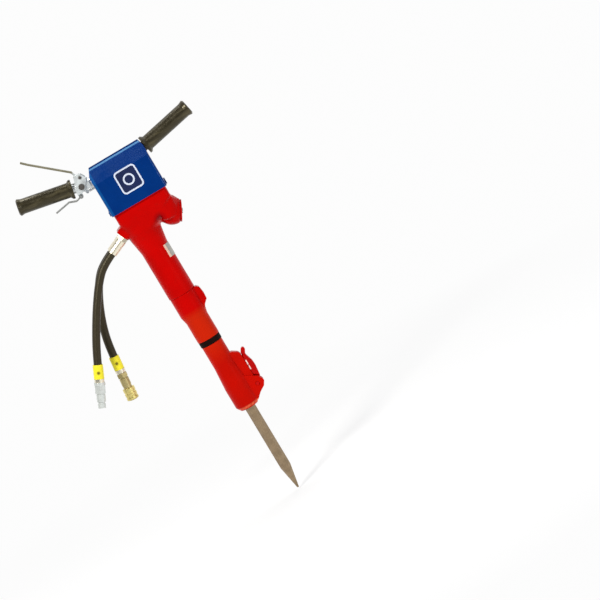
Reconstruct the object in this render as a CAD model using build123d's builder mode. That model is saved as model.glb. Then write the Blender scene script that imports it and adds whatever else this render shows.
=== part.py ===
from build123d import *
import os
from math import cos, pi, radians, sin, tan

os.makedirs("parts", exist_ok=True)

# Hydraulic breaker hammer, millimetres. +Z runs up the tool axis and the front faces -Y.
# The origin is the middle of the handlebar. A "depth" is a distance below the origin.

# ---------------------------------------------------------------- driving dimensions
fit = 0.05                 # radial running clearance of sliding parts
gap = 0.3                  # clearance between bodies that only pass each other
beyond = 10.0              # how far a cut runs past the face it opens

# handlebar and grips
bar_rise = radians(11.5)   # each arm rises outward by this angle
bar_r, bar_bore, bar_bend = 12.0, 9.0, 60.0
grip_length, grip_r, grip_flange = 132.0, 17.5, 22.5
flange_thick, flange_blend, grip_flare = 5.0, 5.0, 2.5
left_start, right_start = 93.0, 102.0      # along each arm; the right grip clears the cover
bar_end = grip_length - 5.0                # the bar ends this far beyond a grip's start

# cover
cover_left, cover_right, cover_top, cover_depth = -45.5, 97.5, 40.0, 79.5
cover_half, cover_ridge, cover_bend = 56.0, 24.0, 3.0
left_cut, right_cut = (9.0, 18.0), (5.0, 14.0)     # the ends' sloped top corners
cover_round, ridge_round, wall = 6.0, 4.0, 3.0
bar_room, rod_room = 1.5, 1.0      # clearance of the cover's holes
screw_depth, screw_ys = 72.5, (-30.0, 30.0)        # cover screws
screw_r, screw_head_r, screw_head, screw_reach = 2.5, 5.5, 3.2, 14.0
socket_key, socket_dip = 2.3, 2.0
badge_spot, badge_width, badge_height, badge_rim = (30.6, -23.5), 54.0, 56.0, 3.5
badge_round, badge_thick, badge_field = 9.0, 1.6, 0.8

# handle yoke and start valve
yoke_left, yoke_right, yoke_front, yoke_back, foot_top = -38.0, 80.0, -46.0, 14.0, 56.0
saddle_length, saddle_width, saddle_y, saddle_over = 48.0, 30.0, -1.0, 17.0
yoke_bolt_spots = [(-28, -34), (28, -34), (66, -34), (66, 0)]
bolt_r, bolt_head_r, bolt_head, bolt_reach = 4.0, 7.5, 5.5, 16.0
valve_left, valve_right, gland, plug_x = -38.0, 34.0, 8.0, 28.0
valve_y, valve_width, valve_over, valve_edge = 29.4, 30.0, 8.0, 3.0
oil_ways, oil_way_r, oil_way_height = [(-18, 34), (14, 34)], 5.0, 40.0

# casting under the cover
flange_top, block_bottom = 66.0, 105.0
block_left, block_right, block_half = -42.0, 93.0, 48.0
waist_depth, shoulder_depth, joint_depth = 193.0, 150.0, 315.0
body_r, shoulder_r, block_round = 33.0, 40.0, 12.0
bore_r, spigot_r, spigot_length = 24.0, 28.0, 18.0

# hydraulic ports, left, and accumulator, right
tilt = radians(24.0)       # the port bosses dip by this angle
port_point, port_y, port_boss_r, boss_run = (-48.2, -133.9), 18.0, 13.0, 50.0
port_bore_r, port_bore, stub_r, stub, port_hex_r = 7.0, 34.0, 7.0, 20.0, 12.7
port_way = (-cos(tilt), 0, -sin(tilt))
acc_tilt = radians(28.0)
acc_point = (93.1, 0, -148.6)
acc_way = (cos(acc_tilt), 0, -sin(acc_tilt))
acc_r, acc_belly, acc_pocket_r, acc_pocket, cap_flange = 25.0, 32.0, 19.0, 42.0, 4.0
cap_plug, cap_overhang, gas_r, gas_head_r, gas_head = 12.0, 0.6, 4.0, 6.5, 2.5
acc_way_r, acc_reach, rib_width = 5.0, 95.0, 32.0
plate_top, plate_height, plate_thick = 195.0, 32.0, 0.6      # blank rating plate

# percussion parts, as depths
valve_top, liner_top = 150.0, 200.0
piston_top, piston_shoulder, piston_step, piston_tip = 190.0, 235.0, 300.0, 445.0
piston_r, upper_stem_r, stem_r = 15.0, 10.0, 11.0
valve_r, valve_ring_top, valve_ring_bottom = 18.0, 182.0, 199.0
guide_r, guide_bottom = 22.0, 395.0
seal_depths, seal_r, seal_height = (330.0, 378.0), 14.0, 6.0
stem_room = 0.5            # the valve train's clearance round the upper stem

# lower housing and nose, as depths
cone_top, cone_bottom, band_top, band_bottom, nose_bottom = 364.0, 381.0, 434.0, 447.5, 620.0
lower_r, neck_r, band_r, thread_r, thread_top = 31.7, 27.6, 26.8, 19.0, 406.0
plug_depth, plug_r, plug_length, plug_key, plug_dip = 345.0, 6.5, 20.0, 3.5, 5.0
lug_half = 13.0            # the lug that the plug screws into
nose_top_r, nose_flare_r, nose_bore_r = 25.6, 29.7, 20.5
collar_room, bushing_top, bushing_r, hex_room = 526.0, 455.0, 19.5, 0.25
latch_box_half, nose_lug_half = 12.0, 17.0

# chisel, as depths
hex_flats = 22.2
hex_r = hex_flats / 2 / cos(radians(30))    # two corners point left and right
tip_r = 2.2
shank_top, collar_top, collar_bottom = 469.5, 552.0, 566.0
taper_depth, chisel_tip, collar_r = 783.0, 842.0, 19.0

# latch
latch_x, latch_depth, lobe_r, hub_r = 42.6, 581.0, 27.6, 9.0
latch_half, latch_arm_half, rib_x, rib_half = 6.0, 11.0, 38.5, 3.5
latch_pin_r, latch_pin_half, lobe_room = 4.0, 19.0, 0.8

# trigger
pivot_x, pivot_z, bracket_half, cheek = -71.0, 13.5, 17.0, 3.5
rod_y, rod_z, rod_r, spool_r, pad_r = 20.5, -5.0, 3.5, 5.0, 4.0
pivot_r, pivot_hub_r, pivot_head_r, pivot_head, pivot_seat = 4.0, 9.0, 7.0, 3.0, 3.5
lock_x, lock_z, lock_eye_r, lock_pin_r, lock_pin_half = -83.0, -6.0, 5.0, 2.0, 9.5
ear_half = 4.0             # the bracket's ear that holds the lock pin
blade, lock_blade, blade_half, lock_half = 4.2, 3.6, 9.0, 8.0

# hoses
hose_r = 9.5
ferrule_start, ferrule_end = 9.0, 45.2     # on the ports
bend_share = 0.45          # each bend takes this much of its shorter run
hose_a_route = [
    (-89.5, -18, -152.3), (-120.6, -18, -166.15), (-148.1, -19, -192.6), (-180.8, -21, -236.8),
    (-212, -23, -285.7), (-239.3, -25, -334), (-262.3, -26, -383.3),
]
hose_b_route = [
    (-89.5, 18, -152.3), (-123.3, 18, -167.35), (-149.9, 19, -194.8), (-174.9, 21, -238.1),
    (-196.6, 23, -291.9), (-208.3, 25, -342.6), (-213.9, 26.1, -394.8),
]
tag_length, tag_r = 33.0, 11.8

# couplings: the nipple's tip goes into a socket such as the coupler's
nipple_start, nipple_length, nipple_r, poppet_r = 8.0, 67.0, 9.0, 5.0
nipple_hex_r, nipple_hex_start, nipple_hex_end, nipple_bore = 13.6, 15.0, 33.0, 48.0
coupler_length, socket_r, socket_depth, barrel_r, sleeve_r = 77.0, 9.05, 14.0, 10.2, 14.2
coupler_hex_r, coupler_hex_start, coupler_hex_end, coupler_bore = 13.0, 10.0, 20.0, 50.0
sleeve_start = 47.0


# ---------------------------------------------------------------- helpers
def across(start, way, distance):
    """The plane across a straight axis, a distance along it."""
    unit = Vector(*way).normalized()
    flat = (1, 0, 0) if abs(unit.Y) > 0.9 else (0, 1, 0)
    return Plane(origin=Vector(*start) + unit * distance, x_dir=flat, z_dir=unit)


def turned(start, way, steps, bores=()):
    """A round piece along an axis: (radius, near, far) steps, less its bores."""
    with BuildPart() as piece:
        for radius, near, far in steps:
            with BuildSketch(across(start, way, near)):
                Circle(radius)
            extrude(amount=far - near)
        for radius, near, far in bores:
            with BuildSketch(across(start, way, near)):
                Circle(radius)
            extrude(amount=far - near, mode=Mode.SUBTRACT)
    return piece


centre = (0, 0, 0)
down = (0, 0, -1)


# ---------------------------------------------------------------- handlebar and grips
def arm_point(side, distance):
    return (side * distance * cos(bar_rise), 0, distance * sin(bar_rise))


def grip(side, start):
    """A rubber grip with an inner flange and a closed, slightly flared end."""
    way = arm_point(side, 1)
    end = start + grip_length
    with BuildPart() as piece:
        with BuildSketch(Plane(origin=centre, x_dir=way, z_dir=(0, -side, 0))):
            with BuildLine():
                Polyline(
                    (start, bar_r), (start, grip_flange), (start + flange_thick, grip_flange),
                    (start + flange_thick + flange_blend, grip_r), (end - 12, grip_r),
                    (end - 3, grip_r + grip_flare),
                    (end, grip_r - 1), (end, 0), (start + bar_end, 0), (start + bar_end, bar_r),
                    close=True,
                )
            make_face()
        revolve(axis=Axis(centre, way))
    return piece


left_end = arm_point(-1, left_start + bar_end)
right_end = arm_point(1, right_start + bar_end)

with BuildPart() as handlebar:
    with BuildLine() as bar_path:
        FilletPolyline(left_end, centre, right_end, radius=bar_bend)
    with BuildSketch(bar_path.line ^ 0):
        Circle(bar_r)
        Circle(bar_bore, mode=Mode.SUBTRACT)
    sweep()
handlebar.part.label = "handlebar"
export_step(handlebar.part, "parts/handlebar.step")

left_grip = grip(-1, left_start)
left_grip.part.label = "left_grip"
export_step(left_grip.part, "parts/left_grip.step")

right_grip = grip(1, right_start)
right_grip.part.label = "right_grip"
export_step(right_grip.part, "parts/right_grip.step")

# ---------------------------------------------------------------- cover and what it hides
with BuildPart() as cover:
    with BuildSketch(Plane.XZ):
        with BuildLine():
            Polyline(
                (cover_left, -cover_depth), (cover_left, cover_top - left_cut[1]),
                (cover_left + left_cut[0], cover_top), (cover_right - right_cut[0], cover_top),
                (cover_right, cover_top - right_cut[1]), (cover_right, -cover_depth), close=True,
            )
        make_face()
    extrude(amount=cover_half, both=True)
    with BuildSketch(Plane.YZ):
        with BuildLine():
            Polyline(
                (-cover_half, -cover_depth), (-cover_half, cover_bend), (-cover_ridge, cover_top),
                (cover_ridge, cover_top), (cover_half, cover_bend), (cover_half, -cover_depth),
                close=True,
            )
        make_face()
    extrude(amount=cover_right + beyond, both=True, mode=Mode.INTERSECT)
    fillet(cover.edges().filter_by(Axis.Z), radius=cover_round)
    fillet(cover.edges().filter_by(Axis.X).group_by(Axis.Z)[-1], radius=ridge_round)
    open_face = cover.faces().sort_by(Axis.Z)[0]
    offset(amount=-wall, openings=open_face)
    with BuildSketch(Plane.YZ.offset(cover_left + beyond)):
        with Locations((0, -cover_left * tan(bar_rise))):
            Circle(bar_r + bar_room)
        with Locations((rod_y, rod_z)):
            Circle(rod_r + rod_room)
    extrude(amount=-2 * beyond, mode=Mode.SUBTRACT)
    with BuildSketch(Plane.YZ.offset(cover_right - beyond)):
        with Locations((0, cover_right * tan(bar_rise))):
            Circle(bar_r + bar_room)
    extrude(amount=2 * beyond, mode=Mode.SUBTRACT)
    with BuildSketch(Plane.YZ.offset(cover_left - beyond)):
        with Locations(*[(y, -screw_depth) for y in screw_ys]):
            Circle(screw_r)
    extrude(amount=cover_right - cover_left + 2 * beyond, mode=Mode.SUBTRACT)
cover.part.label = "cover"
export_step(cover.part, "parts/cover.step")

with BuildPart() as badge:
    with BuildSketch(Plane.XZ.offset(cover_half)):
        with Locations(badge_spot):
            RectangleRounded(badge_width, badge_height, badge_round)
    extrude(amount=badge_thick)
    with BuildSketch(Plane.XZ.offset(cover_half + badge_field)):
        with Locations(badge_spot):
            RectangleRounded(
                badge_width - 2 * badge_rim, badge_height - 2 * badge_rim, badge_round - badge_rim
            )
    extrude(amount=badge_thick, mode=Mode.SUBTRACT)
badge.part.label = "badge"
export_step(badge.part, "parts/badge.step")

with BuildPart() as cover_screws:
    for side, face in ((-1, cover_left), (1, cover_right)):
        for y in screw_ys:
            head = across((face, y, -screw_depth), (side, 0, 0), 0)
            with BuildSketch(head):
                Circle(screw_head_r)
            extrude(amount=screw_head)
            with BuildSketch(head.offset(screw_head)):
                RegularPolygon(socket_key, 6)
            extrude(amount=-socket_dip, mode=Mode.SUBTRACT)
            with BuildSketch(head):
                Circle(screw_r)
            extrude(amount=-screw_reach)
cover_screws.part.label = "cover_screws"
export_step(cover_screws.part, "parts/cover_screws.step")

with BuildPart() as handle_yoke:
    with BuildSketch(Plane.XY.offset(-flange_top)):
        with Locations(((yoke_left + yoke_right) / 2, (yoke_front + yoke_back) / 2)):
            RectangleRounded(yoke_right - yoke_left, yoke_back - yoke_front, 4)
    extrude(amount=flange_top - foot_top)
    with BuildSketch(Plane.XY.offset(-foot_top)):
        with Locations((0, saddle_y)):
            RectangleRounded(saddle_length, saddle_width, 3)
    extrude(amount=foot_top + saddle_over)
    with BuildLine() as yoke_path:
        FilletPolyline(left_end, centre, right_end, radius=bar_bend)
    with BuildSketch(yoke_path.line ^ 0):
        Circle(bar_r)
    sweep(mode=Mode.SUBTRACT)
    with BuildSketch(Plane.XY.offset(-foot_top)):
        with Locations(*yoke_bolt_spots):
            Circle(bolt_r)
    extrude(amount=-(flange_top - foot_top), mode=Mode.SUBTRACT)
handle_yoke.part.label = "handle_yoke"
export_step(handle_yoke.part, "parts/handle_yoke.step")

with BuildPart() as yoke_bolts:
    with BuildSketch(Plane.XY.offset(-foot_top)):
        with Locations(*yoke_bolt_spots):
            RegularPolygon(bolt_head_r, 6)
    extrude(amount=bolt_head)
    with BuildSketch(Plane.XY.offset(-foot_top)):
        with Locations(*yoke_bolt_spots):
            Circle(bolt_r)
    extrude(amount=-(flange_top - foot_top + bolt_reach))
yoke_bolts.part.label = "yoke_bolts"
export_step(yoke_bolts.part, "parts/yoke_bolts.step")

# Start valve: a block on the casting, behind the bar, with a spool along X.
rod_axis = (0, rod_y, rod_z)
with BuildPart() as start_valve_block:
    with BuildSketch(Plane.XY.offset(-flange_top)):
        with Locations(((valve_left + valve_right) / 2, valve_y)):
            Rectangle(valve_right - valve_left, valve_width)
    extrude(amount=flange_top + valve_over)
    chamfer(start_valve_block.edges().filter_by(Axis.X).group_by(Axis.Z)[-1], length=valve_edge)
    with BuildSketch(across(rod_axis, (1, 0, 0), valve_left)):
        Circle(rod_r + fit)
    extrude(amount=gland, mode=Mode.SUBTRACT)
    with BuildSketch(across(rod_axis, (1, 0, 0), valve_left + gland)):
        Circle(spool_r + fit)
    extrude(amount=valve_right - valve_left - gland, mode=Mode.SUBTRACT)
    with BuildSketch(Plane.XY.offset(-flange_top)):
        with Locations(*oil_ways):
            Circle(oil_way_r)
    extrude(amount=oil_way_height, mode=Mode.SUBTRACT)
start_valve_block.part.label = "start_valve_block"
export_step(start_valve_block.part, "parts/start_valve_block.step")

start_valve_spool = turned(
    rod_axis, (1, 0, 0),
    [(rod_r, pivot_x + 5 + pad_r + 0.5, 18), (spool_r, -24, -12), (spool_r, -6, 4)],
)
start_valve_spool.part.label = "start_valve_spool"
export_step(start_valve_spool.part, "parts/start_valve_spool.step")

start_valve_plug = turned(
    rod_axis, (1, 0, 0), [(spool_r + fit, plug_x, valve_right), (8, valve_right, valve_right + 4)]
)
start_valve_plug.part.label = "start_valve_plug"
export_step(start_valve_plug.part, "parts/start_valve_plug.step")

# ---------------------------------------------------------------- body casting
with BuildPart() as body_casting:
    with BuildSketch(Plane.XZ):
        with BuildLine():
            Polyline(
                (0, -joint_depth), (body_r, -joint_depth), (body_r, -waist_depth),
                (shoulder_r, -shoulder_depth), (0, -shoulder_depth), close=True,
            )
        make_face()
    revolve(axis=Axis.Z)
    # Funnel from the square block down to the round shoulder.
    with BuildSketch(Plane.XY.offset(-shoulder_depth)):
        RectangleRounded(2 * shoulder_r, 2 * shoulder_r, shoulder_r - 0.1)
    with BuildSketch(Plane.XY.offset(-block_bottom)):
        with Locations(((block_left + block_right) / 2, 0)):
            RectangleRounded(block_right - block_left, 2 * block_half, block_round)
    loft()
    with BuildSketch(Plane.XY.offset(-block_bottom)):
        with Locations(((block_left + block_right) / 2, 0)):
            RectangleRounded(block_right - block_left, 2 * block_half, block_round)
    extrude(amount=block_bottom - cover_depth)
    chamfer(body_casting.faces().sort_by(Axis.Z)[-1].edges(), length=1)
    with BuildSketch(Plane.XY.offset(-cover_depth)):
        with Locations(((cover_left + cover_right) / 2, 0)):
            RectangleRounded(
                cover_right - cover_left - 2 * wall, 2 * (cover_half - wall), 3
            )
    extrude(amount=cover_depth - flange_top)
    # Port boss: two round bosses joined by a block above them.
    with BuildSketch(across((port_point[0], 0, port_point[1]), port_way, -boss_run)):
        with Locations((-port_y, 0), (port_y, 0)):
            Circle(port_boss_r)
        with Locations((0, -5.5)):
            Rectangle(2 * (port_y + port_boss_r), 28)
    extrude(amount=boss_run)
    # Accumulator boss: a belly that narrows to the cap, and a rib up to the block.
    with BuildSketch(Plane(origin=acc_point, x_dir=acc_way, z_dir=(0, -1, 0))):
        with BuildLine():
            Polyline((-40, acc_r), (-68, acc_r - 3), (-68, 0), (0, 0), (0, acc_r + 2))
            ThreePointArc((0, acc_r + 2), (-15, acc_belly), (-40, acc_r))
        make_face()
    revolve(axis=Axis(acc_point, acc_way))
    with BuildSketch(Plane.XZ):
        with BuildLine():
            Polyline((60, -100), (86, -100), (97, -110.5), (104, -123.5), (70, -136), close=True)
        make_face()
    extrude(amount=rib_width / 2, both=True)
    with BuildSketch(across(acc_point, acc_way, -acc_pocket)):
        Circle(acc_pocket_r)
    extrude(amount=acc_pocket, mode=Mode.SUBTRACT)
    with BuildSketch(across(acc_point, acc_way, -acc_reach)):
        Circle(acc_way_r)
    extrude(amount=acc_reach - acc_pocket, mode=Mode.SUBTRACT)
    with BuildSketch(across((port_point[0], 0, port_point[1]), port_way, -port_bore)):
        with Locations((-port_y, 0), (port_y, 0)):
            Circle(port_bore_r)
    extrude(amount=port_bore, mode=Mode.SUBTRACT)
    # Cylinder bore and the wider mouth for the lower housing's spigot.
    with BuildSketch(Plane.XY.offset(-joint_depth)):
        Circle(bore_r)
    extrude(amount=joint_depth - valve_top, mode=Mode.SUBTRACT)
    with BuildSketch(Plane.XY.offset(-joint_depth)):
        Circle(spigot_r)
    extrude(amount=spigot_length, mode=Mode.SUBTRACT)
    for face, side in ((cover_left, -1), (cover_right, 1)):
        with BuildSketch(across((face, 0, -screw_depth), (-side, 0, 0), 0)):
            with Locations(*[(y, 0) for y in screw_ys]):
                Circle(screw_r)
        extrude(amount=screw_reach, mode=Mode.SUBTRACT)
    with BuildSketch(Plane.XY.offset(-flange_top)):
        with Locations(*yoke_bolt_spots):
            Circle(bolt_r)
    extrude(amount=-bolt_reach, mode=Mode.SUBTRACT)
body_casting.part.label = "body_casting"
export_step(body_casting.part, "parts/body_casting.step")

# ---------------------------------------------------------------- accumulator
accumulator_cap = turned(
    acc_point, acc_way,
    [(acc_pocket_r, -cap_plug, 0), (acc_r + cap_overhang, 0, cap_flange)],
    [(gas_r, -cap_plug, cap_flange)],
)
accumulator_cap.part.label = "accumulator_cap"
export_step(accumulator_cap.part, "parts/accumulator_cap.step")

gas_plug = turned(
    acc_point, acc_way,
    [(gas_r, -10, cap_flange), (gas_head_r, cap_flange, cap_flange + gas_head)],
)
gas_plug.part.label = "gas_plug"
export_step(gas_plug.part, "parts/gas_plug.step")

accumulator_diaphragm = turned(
    acc_point, acc_way,
    [(acc_pocket_r, -16, -cap_plug), (15, -32, -16)], [(12.5, -29.5, -cap_plug)],
)
accumulator_diaphragm.part.label = "accumulator_diaphragm"
export_step(accumulator_diaphragm.part, "parts/accumulator_diaphragm.step")

# Blank rating plate, bent round the right front of the body.
with BuildPart() as rating_plate:
    with BuildSketch(Plane.XY.offset(-plate_top)):
        Circle(body_r + plate_thick)
        Circle(body_r, mode=Mode.SUBTRACT)
        with BuildLine():
            Polyline((0, 0), (34, -46), (80, -40), (80, 4), close=True)
        make_face(mode=Mode.INTERSECT)
    extrude(amount=-plate_height)
rating_plate.part.label = "rating_plate"
export_step(rating_plate.part, "parts/rating_plate.step")

# ---------------------------------------------------------------- percussion parts
cylinder_liner = turned(
    centre, down, [(bore_r, liner_top, joint_depth)], [(piston_r + fit, liner_top, joint_depth)]
)
cylinder_liner.part.label = "cylinder_liner"
export_step(cylinder_liner.part, "parts/cylinder_liner.step")

valve_cartridge = turned(
    centre, down, [(bore_r, valve_top, liner_top)],
    [(upper_stem_r + stem_room, valve_top + 7, liner_top), (valve_r + fit, 176, liner_top)],
)
valve_cartridge.part.label = "valve_cartridge"
export_step(valve_cartridge.part, "parts/valve_cartridge.step")

distributor_valve = turned(
    centre, down, [(valve_r, valve_ring_top, valve_ring_bottom)],
    [(upper_stem_r + stem_room, valve_ring_top, valve_ring_bottom)],
)
distributor_valve.part.label = "distributor_valve"
export_step(distributor_valve.part, "parts/distributor_valve.step")

piston = turned(
    centre, down,
    [(upper_stem_r, piston_top, piston_shoulder), (piston_r, piston_shoulder, piston_step),
     (stem_r, piston_step, piston_tip)],
)
piston.part.label = "piston"
export_step(piston.part, "parts/piston.step")

piston_guide = turned(
    centre, down, [(guide_r, joint_depth, guide_bottom)],
    [(stem_r + fit, joint_depth, guide_bottom)]
    + [(seal_r, d, d + seal_height) for d in seal_depths],
)
piston_guide.part.label = "piston_guide"
export_step(piston_guide.part, "parts/piston_guide.step")

piston_seals = turned(
    centre, down, [(seal_r, d, d + seal_height) for d in seal_depths],
    [(stem_r + fit, d, d + seal_height) for d in seal_depths],
)
piston_seals.part.label = "piston_seals"
export_step(piston_seals.part, "parts/piston_seals.step")

# ---------------------------------------------------------------- lower housing
with BuildPart() as lower_housing:
    with BuildSketch(Plane.XZ):
        with BuildLine():
            Polyline(
                (0, -band_top), (neck_r, -band_top), (neck_r, -cone_bottom), (lower_r, -cone_top),
                (lower_r, -joint_depth), (spigot_r, -joint_depth),
                (spigot_r, spigot_length - joint_depth), (0, spigot_length - joint_depth),
                close=True,
            )
        make_face()
    revolve(axis=Axis.Z)
    with BuildSketch(Plane.XZ):
        with BuildLine():
            Polyline(
                (24, -joint_depth), (36, -joint_depth), (41.6, -320.5), (44, -337), (43, -352),
                (33.5, -361), (30, -367), (24, -367), close=True,
            )
        make_face()
    extrude(amount=lug_half, both=True)
    with BuildSketch(Plane.XY.offset(-joint_depth)):
        Circle(bore_r)
    extrude(amount=spigot_length, mode=Mode.SUBTRACT)
    with BuildSketch(Plane.XY.offset(-joint_depth)):
        Circle(guide_r)
    extrude(amount=-(guide_bottom - joint_depth), mode=Mode.SUBTRACT)
    with BuildSketch(Plane.XY.offset(-guide_bottom)):
        Circle(stem_r + 1.5)
    extrude(amount=-(thread_top - guide_bottom), mode=Mode.SUBTRACT)
    with BuildSketch(Plane.XY.offset(-thread_top)):
        Circle(thread_r)
    extrude(amount=-(band_top - thread_top), mode=Mode.SUBTRACT)
    with BuildSketch(across((0, 0, -plug_depth), (1, 0, 0), guide_r - 3)):
        Circle(plug_r)
    extrude(amount=guide_r + beyond, mode=Mode.SUBTRACT)
lower_housing.part.label = "lower_housing"
export_step(lower_housing.part, "parts/lower_housing.step")

with BuildPart() as lock_plug:
    with BuildSketch(across((0, 0, -plug_depth), (1, 0, 0), guide_r + 1)):
        Circle(plug_r)
    extrude(amount=plug_length)
    with BuildSketch(across((0, 0, -plug_depth), (1, 0, 0), guide_r + 1 + plug_length)):
        RegularPolygon(plug_key, 6)
    extrude(amount=-plug_dip, mode=Mode.SUBTRACT)
lock_plug.part.label = "lock_plug"
export_step(lock_plug.part, "parts/lock_plug.step")

rubber_ring = turned(
    centre, down, [(band_r, band_top, band_bottom)], [(thread_r, band_top, band_bottom)]
)
rubber_ring.part.label = "rubber_ring"
export_step(rubber_ring.part, "parts/rubber_ring.step")

# ---------------------------------------------------------------- nose
with BuildPart() as nose:
    with BuildSketch(Plane.XZ):
        with BuildLine():
            Polyline(
                (0, -nose_bottom), (22, -nose_bottom), (nose_flare_r, -609),
                (nose_flare_r, -560), (nose_top_r, -505), (nose_top_r, -band_bottom),
                (thread_r, -band_bottom), (thread_r, -thread_top), (0, -thread_top), close=True,
            )
        make_face()
    revolve(axis=Axis.Z)
    with BuildSketch(Plane.XZ):
        with BuildLine():
            Polyline(
                (10, -488), (29, -488), (41, -496), (44.4, -501), (44.4, -580), (10, -580),
                close=True,
            )
        make_face()
    extrude(amount=latch_box_half, both=True)
    with BuildSketch(Plane.XZ):
        with BuildLine():
            Polyline(
                (10, -546), (20, -547), (52.4, -566), (59.8, -579), (59.8, -583),
                (53.4, -593), (39, -602), (26.5, -614), (10, -616), close=True,
            )
        make_face()
    extrude(amount=nose_lug_half, both=True)
    with BuildSketch(Plane.XY.offset(-nose_bottom)):
        Circle(nose_bore_r)
    extrude(amount=nose_bottom - collar_room, mode=Mode.SUBTRACT)
    with BuildSketch(Plane.XY.offset(-collar_room)):
        Circle(bushing_r)
    extrude(amount=collar_room - bushing_top, mode=Mode.SUBTRACT)
    with BuildSketch(Plane.XY.offset(-bushing_top)):
        Circle(hex_r + 0.7)
    extrude(amount=bushing_top - piston_tip + 5, mode=Mode.SUBTRACT)
    with BuildSketch(Plane.XY.offset(-piston_tip)):
        Circle(stem_r + 1)
    extrude(amount=piston_tip - thread_top, mode=Mode.SUBTRACT)
    with BuildSketch(Plane.XZ):
        with Locations((latch_x, -latch_depth)):
            Circle(lobe_r + lobe_room)
    extrude(amount=latch_half + gap, both=True, mode=Mode.SUBTRACT)
    with BuildSketch(Plane.XZ):
        with Locations((rib_x - 1, -506)):
            Rectangle(20, 60, align=(Align.MIN, Align.MAX))
    extrude(amount=rib_half + gap, both=True, mode=Mode.SUBTRACT)
    with BuildSketch(Plane.XZ):
        with Locations((latch_x, -latch_depth)):
            Circle(latch_pin_r)
    extrude(amount=nose_lug_half + beyond, both=True, mode=Mode.SUBTRACT)
nose.part.label = "nose"
export_step(nose.part, "parts/nose.step")

with BuildPart() as shank_bushing:
    with BuildSketch(Plane.XY.offset(-collar_room)):
        Circle(bushing_r)
        RegularPolygon(hex_r + hex_room, 6, mode=Mode.SUBTRACT)
    extrude(amount=collar_room - bushing_top)
shank_bushing.part.label = "shank_bushing"
export_step(shank_bushing.part, "parts/shank_bushing.step")

with BuildPart() as chisel:
    with BuildSketch(Plane.XY.offset(-taper_depth)):
        RegularPolygon(hex_r, 6)
    extrude(amount=taper_depth - shank_top)
    with BuildSketch(Plane.XY.offset(-collar_bottom)):
        Circle(collar_r)
    extrude(amount=collar_bottom - collar_top)
    with BuildSketch(Plane.XY.offset(-taper_depth)):
        RegularPolygon(hex_r, 6)
    with BuildSketch(Plane.XY.offset(-chisel_tip)):
        RegularPolygon(tip_r, 6)
    loft()
chisel.part.label = "chisel"
export_step(chisel.part, "parts/chisel.step")

# Latch: a hub, a lobe that reaches under the chisel collar, and an arm with a thumb peg.
# The lobe's edge is round about the pivot, so it turns away without lifting the chisel.
with BuildPart() as tool_latch:
    with BuildSketch(Plane.XZ):
        with Locations((latch_x, -latch_depth)):
            Circle(lobe_r)
        with BuildLine():
            Polyline(
                (latch_x, -latch_depth), (latch_x - 40, -latch_depth + 33.6),
                (latch_x - 40, -latch_depth - 14.6), close=True,
            )
        make_face(mode=Mode.INTERSECT)
        with Locations((latch_x, -latch_depth)):
            Circle(hub_r)
        with BuildLine():
            Polyline(
                (latch_x - 4, -latch_depth), (latch_x, -560), (45, -556), (45, -509), (53.4, -509),
                (59.8, -530), (60.7, -543), (58, -568), (latch_x + hub_r, -latch_depth),
                close=True,
            )
        make_face()
        with BuildLine():
            Polyline((45.4, -512), (44.8, -503), (50.5, -493.5), (54.5, -491.5), (58.2, -493.5),
                     (58.8, -498.5), (54.4, -506.5), (53.4, -512), close=True)
        make_face()
        with Locations((latch_x, -latch_depth)):
            Circle(latch_pin_r + fit, mode=Mode.SUBTRACT)
    extrude(amount=latch_half, both=True)
    with BuildSketch(Plane.XZ):
        with BuildLine():
            Polyline((rib_x, -509), (46, -509), (46, -558), (rib_x, -554), close=True)
        make_face()
    extrude(amount=rib_half, both=True)
    with BuildSketch(Plane.XZ):
        with BuildLine():
            Polyline(
                (45, -559), (45, -509), (53.4, -509), (59.8, -530), (60.7, -543), (58, -568),
                (52.4, -563.5), close=True,
            )
        make_face()
    extrude(amount=latch_arm_half, both=True)
tool_latch.part.label = "tool_latch"
export_step(tool_latch.part, "parts/tool_latch.step")

latch_pin = turned(
    (latch_x, 0, -latch_depth), (0, 1, 0), [(latch_pin_r, -latch_pin_half, latch_pin_half)]
)
latch_pin.part.label = "latch_pin"
export_step(latch_pin.part, "parts/latch_pin.step")

# ---------------------------------------------------------------- trigger and lock lever
with BuildPart() as trigger_bracket:
    with BuildSketch(Plane.XZ):
        with BuildLine():
            Polyline(
                (-86.8, 16), (-76, 28.5), (-57, 30), (-51, 26), (-51, 2), (-76, 0.5),
                (-88, 0.5), close=True,
            )
        make_face()
    extrude(amount=bracket_half, both=True)
    with BuildSketch(Plane.XZ):
        with Locations((lock_x, lock_z)):
            Circle(lock_eye_r)
        with Locations((lock_x, lock_z + 4)):
            Rectangle(2 * lock_eye_r, 8)
    extrude(amount=ear_half, both=True)
    with BuildSketch(across(centre, arm_point(-1, 1), 40)):
        Circle(bar_r)
    extrude(amount=70, mode=Mode.SUBTRACT)
    with BuildSketch(Plane.XZ):
        with Locations((lock_x, lock_z)):
            Circle(lock_pin_r)
    extrude(amount=beyond, both=True, mode=Mode.SUBTRACT)
    for side in (-1, 1):
        with BuildSketch(across((pivot_x, side * bracket_half, pivot_z), (0, -side, 0), 0)):
            Circle(pivot_r - 1)
        extrude(amount=pivot_seat, mode=Mode.SUBTRACT)
trigger_bracket.part.label = "trigger_bracket"
export_step(trigger_bracket.part, "parts/trigger_bracket.step")

with BuildPart() as trigger_pivots:
    for side in (-1, 1):
        for radius, near, far in (
            (pivot_r - 1, -pivot_seat, 0), (pivot_r, 0, cheek + 1),
            (pivot_head_r, cheek + 1, cheek + 1 + pivot_head),
        ):
            with BuildSketch(across((pivot_x, side * bracket_half, pivot_z), (0, side, 0), near)):
                Circle(radius)
            extrude(amount=far - near)
trigger_pivots.part.label = "trigger_pivots"
export_step(trigger_pivots.part, "parts/trigger_pivots.step")

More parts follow.
